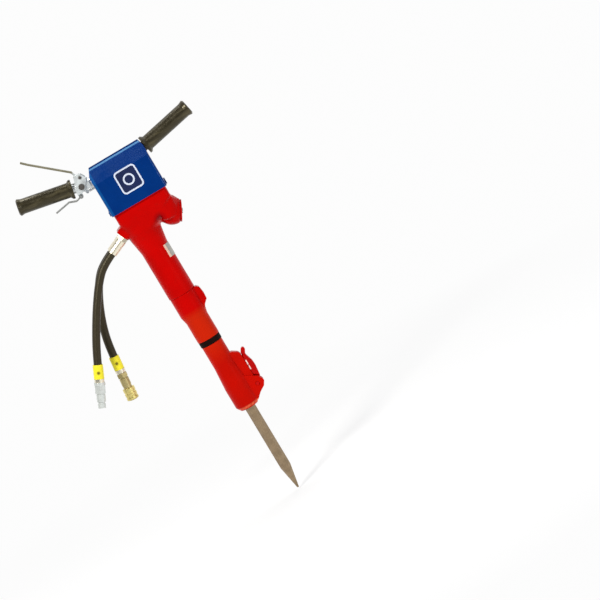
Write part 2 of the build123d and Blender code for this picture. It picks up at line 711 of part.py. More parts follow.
cheek_near, cheek_far = bracket_half + gap, bracket_half + gap + cheek
with BuildPart() as trigger_lever:
    for side in (-1, 1):
        with BuildSketch(Plane.XZ.offset(-side * cheek_near)):
            with Locations((pivot_x, pivot_z)):
                Circle(pivot_hub_r)
            with BuildLine():
                Polyline((-79.8, 12), (-62.2, 12), (-54, 22), (-52.5, 29), (-58, 39), (-66, 42),
                         (-76, 42), (-80.5, 30), close=True)
            make_face()
            with Locations((pivot_x, pivot_z)):
                Circle(pivot_r + fit, mode=Mode.SUBTRACT)
        extrude(amount=-side * cheek)
    # Bridge over the bar, then the blade that the hand presses.
    with BuildSketch(Plane.XZ):
        with BuildLine():
            Polyline((-60, 34.5), (-60, 38), (-66, 42), (-73.5, 42), (-73.5, 34.5), close=True)
        make_face()
    extrude(amount=cheek_far, both=True)
    with BuildSketch(Plane.XZ):
        with BuildLine():
            Polyline((-70, 39), (-75.2, 52.9), (-150, 117.3), (-163, 130))
        trace(line_width=blade)
    extrude(amount=blade_half, both=True)
    # Rear arm with a round pad that pushes the start valve rod.
    with BuildSketch(Plane.XZ.offset(-cheek_near)):
        with BuildLine():
            Polyline((-77, 8), (-69, rod_z), (-63, rod_z), (-64, 8), close=True)
        make_face()
        with Locations((pivot_x, pivot_z)):
            Circle(pivot_r + fit, mode=Mode.SUBTRACT)
    extrude(amount=-cheek)
    with BuildSketch(Plane.XZ.offset(-cheek_near)):
        with Locations((pivot_x + 5, rod_z)):
            Circle(pad_r)
    extrude(amount=-cheek - 3)
trigger_lever.part.label = "trigger_lever"
export_step(trigger_lever.part, "parts/trigger_lever.step")

with BuildPart() as lock_lever:
    with BuildSketch(Plane.XZ):
        with Locations((lock_x, lock_z)):
            Circle(lock_eye_r)
        with BuildLine():
            Polyline((lock_x, lock_z), (-98, -9.8), (-114, -3.6), (-151, -10.2))
        trace(line_width=lock_blade)
    extrude(amount=lock_half, both=True)
    with BuildSketch(Plane.XZ):
        with Locations((lock_x, lock_z)):
            Circle(lock_eye_r + 2 * gap)
    extrude(amount=ear_half + gap, both=True, mode=Mode.SUBTRACT)
    with BuildSketch(Plane.XZ):
        with Locations((lock_x, lock_z)):
            Circle(lock_pin_r + fit)
    extrude(amount=lock_half + 1, both=True, mode=Mode.SUBTRACT)
lock_lever.part.label = "lock_lever"
export_step(lock_lever.part, "parts/lock_lever.step")

lock_pin = turned(
    (lock_x, 0, lock_z), (0, 1, 0), [(lock_pin_r, -lock_pin_half, lock_pin_half)]
)
lock_pin.part.label = "lock_pin"
export_step(lock_pin.part, "parts/lock_pin.step")

# ---------------------------------------------------------------- port fittings and hoses
port_faces = [(port_point[0], y, port_point[1]) for y in (-port_y, port_y)]

with BuildPart() as port_adapters:
    for start in port_faces:
        with BuildSketch(across(start, port_way, -stub)):
            Circle(stub_r)
        extrude(amount=stub)
        with BuildSketch(across(start, port_way, 0)):
            RegularPolygon(port_hex_r, 6)
        extrude(amount=ferrule_start)
port_adapters.part.label = "port_adapters"
export_step(port_adapters.part, "parts/port_adapters.step")

with BuildPart() as port_ferrules:
    for start in port_faces:
        for radius, near, far in (
            (12.2, ferrule_start, 20), (11, 20, 23), (11.8, 23, ferrule_end),
        ):
            with BuildSketch(across(start, port_way, near)):
                Circle(radius)
            extrude(amount=far - near)
port_ferrules.part.label = "port_ferrules"
export_step(port_ferrules.part, "parts/port_ferrules.step")


def bend_radii(points):
    """The radius of the arc at each inner point, from its share of the shorter run."""
    radii = []
    for before, here, after in zip(points, points[1:], points[2:]):
        run_in, run_out = Vector(*here) - Vector(*before), Vector(*after) - Vector(*here)
        turn = radians(run_in.get_angle(run_out))
        radii.append(bend_share * min(run_in.length, run_out.length) / tan(turn / 2))
    return radii


def hose(points):
    """A plain round hose along straight runs joined by tangent arcs."""
    with BuildPart() as piece:
        with BuildLine() as path:
            FilletPolyline(*points, radius=bend_radii(points))
        with BuildSketch(path.line ^ 0):
            Circle(hose_r)
        sweep()
    length = sum(edge.length for edge in path.edges())
    ratio = piece.part.volume / (pi * hose_r**2 * length)
    print("hose length", round(length, 1), "volume ratio", round(ratio, 4))
    print("bend radii", [round(radius) for radius in bend_radii(points)])
    return piece


hose_a = hose(hose_a_route)
hose_a.part.label = "hose_a"
export_step(hose_a.part, "parts/hose_a.step")

hose_b = hose(hose_b_route)
hose_b.part.label = "hose_b"
export_step(hose_b.part, "parts/hose_b.step")


def hose_end(points):
    """Where a hose ends, and its direction there."""
    return points[-1], Vector(*points[-1]) - Vector(*points[-2])


end_a, way_a = hose_end(hose_a_route)
end_b, way_b = hose_end(hose_b_route)

hose_a_tag = turned(end_a, way_a, [(tag_r, -tag_length, 0)], [(hose_r + 0.2, -tag_length, 0)])
hose_a_tag.part.label = "hose_a_tag"
export_step(hose_a_tag.part, "parts/hose_a_tag.step")

hose_b_tag = turned(end_b, way_b, [(tag_r, -tag_length, 0)], [(hose_r + 0.2, -tag_length, 0)])
hose_b_tag.part.label = "hose_b_tag"
export_step(hose_b_tag.part, "parts/hose_b_tag.step")

# Flat-face nipple on hose A.
nipple_ferrule = turned(end_a, way_a, [(11.6, 0, 5), (10.8, 5, nipple_start)])
nipple_ferrule.part.label = "nipple_ferrule"
export_step(nipple_ferrule.part, "parts/nipple_ferrule.step")

with BuildPart() as nipple:
    with BuildSketch(across(end_a, way_a, nipple_hex_start)):
        RegularPolygon(nipple_hex_r, 6)
    extrude(amount=nipple_hex_end - nipple_hex_start)
    for radius, near, far in (
        (12.8, nipple_start, nipple_hex_start), (9.4, nipple_hex_end, 36), (10.3, 36, 53),
        (7.8, 53, 58), (nipple_r, 58, nipple_length),
    ):
        with BuildSketch(across(end_a, way_a, near)):
            Circle(radius)
        extrude(amount=far - near)
    with BuildSketch(across(end_a, way_a, nipple_bore)):
        Circle(poppet_r + fit)
    extrude(amount=nipple_length - nipple_bore, mode=Mode.SUBTRACT)
nipple.part.label = "nipple"
export_step(nipple.part, "parts/nipple.step")

nipple_poppet = turned(end_a, way_a, [(poppet_r, 54, nipple_length)])
nipple_poppet.part.label = "nipple_poppet"
export_step(nipple_poppet.part, "parts/nipple_poppet.step")

# Quick coupler on hose B: the sleeve slides back towards the hose.
coupler_ferrule = turned(end_b, way_b, [(12, 0, 7), (9, 7, 10)])
coupler_ferrule.part.label = "coupler_ferrule"
export_step(coupler_ferrule.part, "parts/coupler_ferrule.step")

with BuildPart() as coupler_body:
    with BuildSketch(across(end_b, way_b, coupler_hex_start)):
        RegularPolygon(coupler_hex_r, 6)
    extrude(amount=coupler_hex_end - coupler_hex_start)
    for radius, near, far in (
        (9, coupler_hex_end, 23), (11, 23, 40), (barrel_r, 40, coupler_length),
    ):
        with BuildSketch(across(end_b, way_b, near)):
            Circle(radius)
        extrude(amount=far - near)
    with BuildSketch(across(end_b, way_b, coupler_length - socket_depth)):
        Circle(socket_r)
    extrude(amount=socket_depth, mode=Mode.SUBTRACT)
    with BuildSketch(across(end_b, way_b, coupler_bore)):
        Circle(poppet_r + fit)
    extrude(amount=coupler_length - socket_depth - coupler_bore, mode=Mode.SUBTRACT)
coupler_body.part.label = "coupler_body"
export_step(coupler_body.part, "parts/coupler_body.step")

coupler_sleeve = turned(
    end_b, way_b,
    [(sleeve_r - 1, sleeve_start, coupler_length - 1), (sleeve_r, 48, 56), (sleeve_r, 60, 66),
     (sleeve_r, 70, coupler_length - 2)],
    [(barrel_r + fit, sleeve_start, coupler_length - 1)],
)
coupler_sleeve.part.label = "coupler_sleeve"
export_step(coupler_sleeve.part, "parts/coupler_sleeve.step")

coupler_poppet = turned(end_b, way_b, [(poppet_r, 56, coupler_length - socket_depth)])
coupler_poppet.part.label = "coupler_poppet"
export_step(coupler_poppet.part, "parts/coupler_poppet.step")
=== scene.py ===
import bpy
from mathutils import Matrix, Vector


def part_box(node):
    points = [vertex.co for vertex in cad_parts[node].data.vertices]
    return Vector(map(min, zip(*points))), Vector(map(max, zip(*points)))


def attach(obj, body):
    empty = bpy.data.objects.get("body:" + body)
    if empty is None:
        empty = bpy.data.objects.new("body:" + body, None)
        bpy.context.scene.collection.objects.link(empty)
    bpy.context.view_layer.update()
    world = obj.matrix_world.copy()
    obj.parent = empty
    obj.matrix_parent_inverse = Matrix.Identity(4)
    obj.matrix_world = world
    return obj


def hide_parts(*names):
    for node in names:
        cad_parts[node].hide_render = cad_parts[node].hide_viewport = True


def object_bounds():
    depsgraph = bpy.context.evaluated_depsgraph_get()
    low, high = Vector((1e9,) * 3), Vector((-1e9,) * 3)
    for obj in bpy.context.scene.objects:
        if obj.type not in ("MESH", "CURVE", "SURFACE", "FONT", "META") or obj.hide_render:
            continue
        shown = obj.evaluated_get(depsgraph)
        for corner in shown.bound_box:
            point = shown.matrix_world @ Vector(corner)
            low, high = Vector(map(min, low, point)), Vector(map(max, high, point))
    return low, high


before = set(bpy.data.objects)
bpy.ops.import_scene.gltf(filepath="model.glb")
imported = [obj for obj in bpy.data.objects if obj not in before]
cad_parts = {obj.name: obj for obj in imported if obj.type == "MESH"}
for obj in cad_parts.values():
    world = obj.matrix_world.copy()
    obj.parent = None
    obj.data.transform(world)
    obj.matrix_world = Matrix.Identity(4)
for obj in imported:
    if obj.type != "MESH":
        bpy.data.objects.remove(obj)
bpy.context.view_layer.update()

from math import cos, pi, radians, sin

import bmesh
import bpy
from mathutils import Matrix, Vector

ROOT = "breaker"

# ---------------------------------------------------------------- camera
VIEW_CENTRE = Vector((0.2248, 0.0, -0.4678))   # what the middle of the picture looks at
CAMERA_AT = Vector((0.1172, -5.9416, 0.3672))
CAMERA_ROLL = radians(30.66)                   # the tool leans this much in the picture
LENS = 156.4


def make_camera():
    data = bpy.data.cameras.new("camera")
    data.lens = LENS
    camera = bpy.data.objects.new("camera", data)
    bpy.context.collection.objects.link(camera)
    away = (VIEW_CENTRE - CAMERA_AT).normalized()
    level = away.cross(Vector((0, 0, 1))).normalized()
    upright = level.cross(away)
    right = level * cos(CAMERA_ROLL) - upright * sin(CAMERA_ROLL)
    up = level * sin(CAMERA_ROLL) + upright * cos(CAMERA_ROLL)
    turn = Matrix((right, up, -away)).transposed()
    camera.matrix_world = Matrix.Translation(CAMERA_AT) @ turn.to_4x4()
    bpy.context.scene.camera = camera


make_camera()

# ---------------------------------------------------------------- hoses
HOSE_D = 0.019
HOSE_A = [
    (-0.0895, -0.018, -0.1523), (-0.1206, -0.018, -0.16615), (-0.1481, -0.019, -0.1926),
    (-0.1808, -0.021, -0.2368), (-0.212, -0.023, -0.2857), (-0.2393, -0.025, -0.334),
    (-0.2623, -0.026, -0.3833),
]
HOSE_B = [
    (-0.0895, 0.018, -0.1523), (-0.1233, 0.018, -0.16735), (-0.1499, 0.019, -0.1948),
    (-0.1749, 0.021, -0.2381), (-0.1966, 0.023, -0.2919), (-0.2083, 0.025, -0.3426),
    (-0.2139, 0.0261, -0.3948),
]


def make_hose(name, route, node):
    """A hose as one smooth curve, hanging under its own weight."""
    data = bpy.data.curves.new(name, "CURVE")
    data.dimensions = "3D"
    data.bevel_depth = 1.0              # times each point's radius
    data.bevel_resolution = 10
    data.resolution_u = 16
    spline = data.splines.new("NURBS")
    spline.points.add(len(route) - 1)
    for point, place in zip(spline.points, route):
        point.co = (*place, 1)
        point.radius = HOSE_D / 2
    spline.order_u = 3
    spline.use_endpoint_u = True
    piece = bpy.data.objects.new(name, data)
    bpy.context.collection.objects.link(piece)
    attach(piece, ROOT)
    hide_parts(node)
    return piece


hose_a = make_hose("pressure_hose", HOSE_A, "hose_a")
hose_b = make_hose("return_hose", HOSE_B, "hose_b")


# ---------------------------------------------------------------- materials
class Look:
    """One procedural material round its own Principled shader, placed by the row frame."""

    def __init__(self, name, colour, roughness, metallic=0.0, coat=0.0):
        self.material = bpy.data.materials.new(name)
        self.material.use_nodes = True
        self.tree = self.material.node_tree
        self.shader = self.tree.nodes["Principled BSDF"]
        self.put("Base Color", (*colour, 1))
        self.put("Roughness", roughness)
        self.put("Metallic", metallic)
        self.put("Coat Weight", coat)
        self.place = self.tree.nodes.new("ShaderNodeTexCoord").outputs["Object"]
        self.normal = None

    def put(self, socket, value):
        self.shader.inputs[socket].default_value = value

    def feed(self, socket, output):
        self.tree.links.new(output, self.shader.inputs[socket])

    def node(self, kind, inputs, **settings):
        made = self.tree.nodes.new(kind)
        for key, value in settings.items():
            setattr(made, key, value)
        for key, value in inputs.items():
            if hasattr(value, "is_output"):
                self.tree.links.new(value, made.inputs[key])
            else:
                made.inputs[key].default_value = value
        return made

    def along(self, axis):
        """The place along X, Y or Z of the row frame."""
        return self.node("ShaderNodeSeparateXYZ", {0: self.place}).outputs[axis]

    def stretched(self, scale):
        return self.node("ShaderNodeMapping", {"Vector": self.place, "Scale": scale}).outputs[0]

    def noise(self, scale, detail=4.0, rough=0.55, stretch=None):
        place = self.stretched(stretch) if stretch else self.place
        return self.node("ShaderNodeTexNoise", {
            "Vector": place, "Scale": scale, "Detail": detail, "Roughness": rough,
        }).outputs["Fac"]

    def band(self, value, low, high, out_low=0.0, out_high=1.0):
        """A ramp between two values of the input; low may be the larger one."""
        return self.node("ShaderNodeMapRange", {
            "Value": value, "From Min": low, "From Max": high,
            "To Min": out_low, "To Max": out_high,
        }, clamp=True).outputs[0]

    def maths(self, operation, a, b=0.0):
        return self.node("ShaderNodeMath", {0: a, 1: b}, operation=operation).outputs[0]

    def product(self, *factors):
        whole = factors[0]
        for factor in factors[1:]:
            whole = self.maths("MULTIPLY", whole, factor)
        return whole

    def near(self, point, inside, outside):
        """1 close to a point of the row frame, 0 beyond."""
        apart = self.node("ShaderNodeVectorMath", {0: self.place, 1: point}, operation="DISTANCE")
        return self.band(apart.outputs["Value"], inside, outside, 1.0, 0.0)

    def mix(self, amount, first, second):
        """A colour between two; the Mix node's factor and colours are its inputs 0, 6 and 7."""
        mixer = self.tree.nodes.new("ShaderNodeMix")
        mixer.data_type = "RGBA"
        for key, value in ((0, amount), (6, first), (7, second)):
            if hasattr(value, "is_output"):
                self.tree.links.new(value, mixer.inputs[key])
            elif key == 0:
                mixer.inputs[key].default_value = value
            else:
                mixer.inputs[key].default_value = (*value, 1)
        return mixer.outputs[2]

    def bump(self, height, distance, strength=1.0):
        inputs = {"Height": height, "Distance": distance, "Strength": strength}
        if self.normal:
            inputs["Normal"] = self.normal
        self.normal = self.node("ShaderNodeBump", inputs).outputs[0]
        self.feed("Normal", self.normal)


def paint(name, colour, dark, dust, roughness=0.3, tint=(1, 1, 1)):
    """Sprayed paint on a casting: orange peel, faint clouding, dust and fine scuffs."""
    look = Look(name, colour, roughness, coat=0.1)
    look.put("Coat Roughness", 0.1)
    look.put("Specular IOR Level", 0.2)
    look.put("Specular Tint", (*tint, 1))
    cloud = look.band(look.noise(14, 3), 0.35, 0.7)
    grime = look.band(look.noise(55, 8, 0.7), 0.56, 0.82, 0, 0.5)
    scuff = look.band(look.noise(260, 4, 0.6, (1, 1, 0.12)), 0.68, 0.76, 0, 0.4)
    base = look.mix(cloud, colour, dark)
    base = look.mix(grime, base, dust)
    base = look.mix(scuff, base, tuple(min(1, c * 1.4 + 0.02) for c in colour))
    look.base = base
    look.feed("Base Color", base)
    look.feed("Roughness", look.band(look.noise(40, 6), 0.3, 0.75,
                                     roughness - 0.06, roughness + 0.2))
    look.bump(look.noise(420, 2), 0.00012)
    look.bump(look.noise(90, 5), 0.00025)
    return look


def metal(name, colour, dark, roughness, grain=(1, 1, 1), grain_scale=300, wear_and_highlight=0.4):
    """Bare or plated metal: grain, stains and small dings."""
    look = Look(name, colour, roughness, metallic=1.0)
    stain = look.band(look.noise(45, 6, 0.6), 0.5, 0.8, 0, wear_and_highlight)
    fleck = look.band(look.noise(500, 2), 0.66, 0.8, 0, 0.25)
    base = look.mix(stain, colour, dark)
    base = look.mix(fleck, base, dark)
    look.base = base
    look.feed("Base Color", base)
    look.feed("Roughness", look.band(look.noise(90, 4), 0.3, 0.75,
                                     roughness - 0.06, roughness + 0.12))
    look.bump(look.noise(grain_scale, 3, 0.5, grain), 0.00006)
    return look


def rubber(name, colour, pale, roughness, sheen, level=0.3):
    """Moulded rubber or soft plastic: dust in patches over a fine matt skin."""
    look = Look(name, colour, roughness)
    look.put("Specular IOR Level", level)
    look.put("Specular Tint", (1, 0.9, 0.62, 1))
    look.put("Sheen Weight", sheen)
    look.put("Sheen Roughness", 0.4)
    dust = look.band(look.noise(60, 7, 0.65), 0.5, 0.85, 0, 0.5)
    base = look.mix(dust, colour, pale)
    look.base = base
    look.feed("Base Color", base)
    look.feed("Roughness", look.band(look.noise(150, 5), 0.3, 0.7,
                                     roughness - 0.08, roughness + 0.12))
    look.bump(look.noise(900, 3), 0.00012)
    look.bump(look.noise(60, 3), 0.0002)
    return look


# Where finishes change, in metres of the row frame. A pair says where the change starts and ends.
NECK_TOP, NECK_LOW = (-0.372, -0.356), (-0.50, -0.44)       # z of the orange front housing
RIM_LOW, RIM_HIGH = (-0.6185, -0.6165), (-0.6105, -0.6125)  # z of the painted highlight along the nose's lower rim
# Painted shade: the crease under the accumulator boss is darkened round this point.
BOSS_CORNER, CORNER_SPREAD = (0.0457, -0.040, -0.137), (0.003, 0.018)
STREAK_X, STREAK_Y = (0.0484, 0.0476), (-0.0085, -0.0095)   # the painted highlight along the latch's edge
STREAK_LOW, STREAK_HIGH = (-0.547, -0.544), (-0.520, -0.523)
# Painted light on the cover: shade on its top face, highlights along the front ridge and down the
# left corner.
COVER_TOP, RIDGE_Z, RIDGE_Y = (0.0384, 0.0392), (0.0345, 0.0360), (-0.0235, -0.0245)
COVER_LEFT = (-0.0375, -0.0400)
BAR_DUST = (0.080, 0.085)                                   # x, at the right grip's flange
BEIGE_END = (0.0240, 0.0255)                                # x, where the painted highlight on the rating plate ends
LEVER_EYE, EYE_SPREAD = (-0.068, 0, 0.018), (0.030, 0.036)
DOT_A, DOT_B = (-0.2560, -0.0375, -0.3700), (-0.2122, 0.0136, -0.3790)
DOT_SPREAD = (0.002, 0.0055)

RED_TINT, BLUE_TINT = (1, 0.12, 0.10), (0.1, 0.45, 1)       # of the paints' reflections


def red_paint():
    """Body red, more orange between the body and the nose, with a painted highlight along the rim
    under the nose.

    It has nearly no gloss, so that the bright surroundings do not wash it out.
    """
    look = paint("red_paint", (0.50, 0.0015, 0.001), (0.42, 0.0015, 0.001),
                 (0.34, 0.008, 0.005), roughness=0.25, tint=RED_TINT)
    look.put("Coat Weight", 0.0)
    look.put("Specular IOR Level", 0.08)
    height = look.along("Z")
    lower = look.product(look.band(height, *NECK_TOP, 1, 0), look.band(height, *NECK_LOW, 0.15, 0.8))
    # A painted highlight: a paler line along the nose's lower rim.
    rim = look.product(look.band(height, *RIM_LOW), look.band(height, *RIM_HIGH),
                       look.band(look.noise(180, 4), 0.35, 0.6, 0.3, 0.9))
    # Painted shade in the crease under the accumulator boss.
    painted_shade_under_boss = look.product(look.near(BOSS_CORNER, *CORNER_SPREAD), 0.75)
    colour = look.mix(lower, look.base, (0.52, 0.019, 0.003))
    colour = look.mix(rim, colour, (0.80, 0.13, 0.05))
    look.feed("Base Color", look.mix(painted_shade_under_boss, colour, (0.13, 0.001, 0.003)))
    return look.material


def latch_paint():
    """The latch's red, with a painted highlight along the front edge of its arm."""
    look = paint("latch_paint", (0.47, 0.0015, 0.001), (0.36, 0.0015, 0.001),
                 (0.30, 0.008, 0.005), roughness=0.25, tint=RED_TINT)
    height = look.along("Z")
    # A painted highlight: a pale streak along the front edge of the arm.
    wear_and_highlight = look.product(
        look.band(look.along("X"), *STREAK_X), look.band(look.along("Y"), *STREAK_Y),
        look.band(height, *STREAK_LOW), look.band(height, *STREAK_HIGH),
        look.band(look.noise(240, 4), 0.4, 0.55, 0.2, 1),
    )
    look.feed("Base Color", look.mix(wear_and_highlight, look.base, (0.92, 0.72, 0.68)))
    return look.material


def blue_paint():
    """The cover's blue, with a painted highlight along the ridge, painted shade on the top and a
    painted highlight on the left corner.
    """
    look = paint("blue_paint", (0.0003, 0.025, 0.155), (0.0003, 0.020, 0.135),
                 (0.001, 0.03, 0.12), roughness=0.24, tint=BLUE_TINT)
    height = look.along("Z")
    # Painted shade on the top face, which also loses its gloss.
    top = look.band(height, *COVER_TOP)
    # A painted highlight along the front ridge.
    ridge = look.product(look.band(height, *RIDGE_Z), look.band(look.along("Y"), *RIDGE_Y), 0.8)
    # A painted highlight down the left corner.
    corner = look.product(look.band(look.along("X"), *COVER_LEFT), 0.8)
    colour = look.mix(corner, look.base, (0.004, 0.075, 0.26))
    colour = look.mix(ridge, colour, (0.10, 0.26, 0.48))
    look.feed("Base Color", look.mix(top, colour, (0.0005, 0.020, 0.115)))
    look.feed("Specular IOR Level", look.band(top, 0, 1, 0.2, 0))
    look.feed("Coat Weight", look.band(top, 0, 1, 0.1, 0))
    return look.material


def grip_rubber():
    """Grip rubber with paler streaks along the bar, partly texture and partly a painted sheen."""
    look = rubber("grip_rubber", (0.014, 0.011, 0.005), (0.040, 0.033, 0.016),
                  roughness=0.3, sheen=0.05, level=0.5)
    streaks = look.noise(110, 5, 0.6, (0.14, 1, 1))
    # The paler streaks are in part a painted sheen; their bump is texture.
    look.feed("Base Color", look.mix(look.band(streaks, 0.5, 0.72, 0, 0.8), look.base,
                                     (0.075, 0.062, 0.030)))
    look.bump(streaks, 0.0002)
    return look.material


def hose_rubber():
    """A hose's cover, with the faint lay of the cloth it was cured in."""
    look = rubber("hose_rubber", (0.024, 0.019, 0.010), (0.045, 0.037, 0.022),
                  roughness=0.38, sheen=0.05)
    wrap = look.node("ShaderNodeTexWave", {
        "Vector": look.place, "Scale": 190, "Distortion": 1.0, "Detail": 1.0},
        bands_direction="Z").outputs["Fac"]
    look.bump(wrap, 0.0001, 0.6)
    return look.material


def bar_steel():
    """The handlebar: bright on the left, black with rubber dust beside the right grip."""
    look = metal("bar_steel", (0.68, 0.70, 0.70), (0.35, 0.35, 0.34), roughness=0.38)
    dusty = look.band(look.along("X"), *BAR_DUST)
    look.feed("Base Color", look.mix(dusty, look.base, (0.025, 0.022, 0.014)))
    look.feed("Metallic", look.band(dusty, 0, 1, 1, 0))
    return look.material


def label_foil():
    """The blank rating plate: foil, with a beige painted highlight on its left."""
    look = metal("label_foil", (0.44, 0.42, 0.38), (0.34, 0.30, 0.26), roughness=0.4)
    # A painted highlight: a beige strip on the plate's left.
    beige = look.band(look.along("X"), *BEIGE_END, 1, 0)
    look.feed("Base Color", look.mix(beige, look.base, (0.74, 0.50, 0.38)))
    look.feed("Metallic", look.band(beige, 0, 1, 1, 0))
    return look.material


def lever_steel():
    """The trigger's forging: pale round its pivot, darker and worn along the blade."""
    look = metal("lever_steel", (0.27, 0.25, 0.17), (0.13, 0.115, 0.08), roughness=0.42,
                 grain=(1, 1, 0.3))
    look.feed("Base Color", look.mix(look.near(LEVER_EYE, *EYE_SPREAD), look.base,
                                     (0.78, 0.82, 0.82)))
    return look.material


def nipple_steel():
    """Plating on the nipple, half as metallic as the rest, because it is dull and whitish."""
    look = metal("nipple_steel", (0.62, 0.65, 0.62), (0.36, 0.37, 0.34), roughness=0.42)
    look.put("Metallic", 0.5)
    return look.material


def tag_plastic(name, spot):
    """A yellow marking sleeve with one plain dark dot, where a printed mark would be."""
    look = rubber(name, (0.84, 0.74, 0.03), (0.66, 0.6, 0.08), roughness=0.38, sheen=0.0)
    dot = look.near(spot, *DOT_SPREAD)
    look.feed("Base Color", look.mix(dot, look.base, (0.16, 0.12, 0.01)))
    return look.material


RED, LATCH, BLUE = red_paint(), latch_paint(), blue_paint()
GRIP, HOSE, BAR = grip_rubber(), hose_rubber(), bar_steel()
LABEL, LEVER, NIPPLE = label_foil(), lever_steel(), nipple_steel()
TAG_A, TAG_B = tag_plastic("tag_yellow_a", DOT_A), tag_plastic("tag_yellow_b", DOT_B)
WHITE = paint("badge_white", (0.60, 0.65, 0.76), (0.52, 0.57, 0.68), (0.42, 0.46, 0.55)).material
BADGE = paint("badge_navy", (0.008, 0.016, 0.07), (0.006, 0.012, 0.05), (0.02, 0.03, 0.07)).material
BLACK = rubber("black_rubber", (0.008, 0.002, 0.002), (0.014, 0.004, 0.004),
               roughness=0.55, sheen=0, level=0.06).material
CAST = metal("cast_aluminium", (0.80, 0.84, 0.84), (0.45, 0.47, 0.46), roughness=0.42).material
ZINC = metal("zinc_steel", (0.62, 0.63, 0.62), (0.26, 0.26, 0.25), roughness=0.34).material
LOCK = metal("lock_steel", (0.38, 0.385, 0.37), (0.17, 0.17, 0.15), roughness=0.4,
             grain=(1, 1, 0.2)).material
DARK = metal("dark_steel", (0.13, 0.12, 0.11), (0.04, 0.035, 0.03), roughness=0.42).material
BRONZE = metal("bronze", (0.45, 0.27, 0.09), (0.2, 0.1, 0.03), roughness=0.35).material
BRASS = metal("coupler_brass", (0.52, 0.43, 0.20), (0.24, 0.18, 0.08), roughness=0.36).material
SLEEVE = metal("sleeve_brass", (0.80, 0.68, 0.26), (0.34, 0.27, 0.08), roughness=0.32,
               wear_and_highlight=0.7).material
CREAM = metal("champagne_zinc", (0.84, 0.78, 0.62), (0.5, 0.43, 0.3), roughness=0.3).material
ADAPTER = metal("adapter_zinc", (0.52, 0.48, 0.38), (0.28, 0.24, 0.17), roughness=0.34).material
CHISEL = metal("forged_steel", (0.34, 0.25, 0.155), (0.16, 0.115, 0.072), roughness=0.5,
               grain=(1, 1, 0.25), grain_scale=240, wear_and_highlight=0.6).material

FINISH = {
    "body_casting": RED, "lower_housing": RED, "nose": RED, "cover": BLUE, "badge": WHITE,
    "left_grip": GRIP, "right_grip": GRIP, "rubber_ring": BLACK,
    "accumulator_diaphragm": BLACK, "piston_seals": BLACK,
    "hose_a_tag": TAG_A, "hose_b_tag": TAG_B, "handlebar": BAR,
    "trigger_bracket": CAST, "rating_plate": LABEL, "trigger_lever": LEVER,
    "lock_lever": LOCK, "trigger_pivots": DARK, "lock_pin": ZINC, "latch_pin": LATCH,
    "cover_screws": BLUE, "yoke_bolts": ZINC, "gas_plug": ZINC, "lock_plug": RED,
    "port_adapters": ADAPTER, "port_ferrules": CREAM, "nipple": NIPPLE, "nipple_poppet": NIPPLE,
    "coupler_poppet": ZINC, "handle_yoke": DARK, "start_valve_block": DARK,
    "start_valve_spool": ZINC, "start_valve_plug": ZINC, "accumulator_cap": RED,
    "cylinder_liner": DARK, "valve_cartridge": DARK, "distributor_valve": ZINC,
    "piston": ZINC, "shank_bushing": DARK, "tool_latch": LATCH, "piston_guide": BRONZE,
    "nipple_ferrule": CREAM, "coupler_ferrule": CREAM, "coupler_body": BRASS,
    "coupler_sleeve": SLEEVE, "chisel": CHISEL,
}


def paint_node(name, finish):
    """Gives a CAD node its finish in every slot."""
    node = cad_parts[name]
    if not node.material_slots:
        node.data.materials.append(None)
    for slot in node.material_slots:
        slot.link = "OBJECT"
        slot.material = finish


for node_name, finish in FINISH.items():
    paint_node(node_name, finish)
for hose in (hose_a, hose_b):
    hose.data.materials.append(HOSE)


# ---------------------------------------------------------------- shapes
def add_piece(name, mesh, material, body=ROOT, smooth=True):
    """A mesh piece that rides on a body."""
    piece = bpy.data.objects.new(name, mesh)
    bpy.context.collection.objects.link(piece)
    mesh.materials.clear()
    mesh.materials.append(material)
    mesh.polygons.foreach_set("use_smooth", [smooth] * len(mesh.polygons))
    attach(piece, body)
    return piece


def baked(piece):
    """The mesh of a piece with its modifiers applied."""
    graph = bpy.context.evaluated_depsgraph_get()
    return bpy.data.meshes.new_from_object(piece.evaluated_get(graph))


def smoothed(mesh, rounds, weights=None):
    """The mesh with its bumps worn down, everywhere or by a weight at each vertex."""
    rough = bpy.data.objects.new("rough", mesh)
    bpy.context.collection.objects.link(rough)
    smooth = rough.modifiers.new("smooth", "SMOOTH")
    smooth.factor = 0.5
    smooth.iterations = rounds
    if weights:
        group = rough.vertex_groups.new(name="wear")
        for vertex in mesh.vertices:
            group.add([vertex.index], weights(vertex.co), "REPLACE")
        smooth.vertex_group = group.name
    made = baked(rough)
    bpy.data.objects.remove(rough)
    return made


def filled(mesh, points):
    """Adds the convex hull of some points to a mesh."""
    maker = bmesh.new()
    maker.from_mesh(mesh)
    corners = [maker.verts.new(point) for point in points]
    bmesh.ops.convex_hull(maker, input=corners)
    maker.to_mesh(mesh)
    maker.free()


def cast(name, node, material, voxel, rounds, body=ROOT, weights=None, heavy=0, web=None):
    """A casting: the CAD solid with its corners filled and rounded, as a mould leaves it.

    The web is filled in first. It is smoothed a few rounds everywhere, and then by as many
    heavy rounds as given where the weights say.
    """
    rough = bpy.data.objects.new("rough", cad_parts[node].data.copy())
    if web:
        filled(rough.data, web)
    bpy.context.collection.objects.link(rough)
    remesh = rough.modifiers.new("remesh", "REMESH")
    remesh.mode = "VOXEL"
    remesh.voxel_size = voxel
    mesh = smoothed(baked(rough), rounds)
    bpy.data.objects.remove(rough)
    if weights:
        mesh = smoothed(mesh, heavy, weights)
    piece = add_piece(name, mesh, material, body)
    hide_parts(node)
    return piece


def ramp(value, low, high):
    return min(1.0, max(0.0, (value - low) / (high - low)))


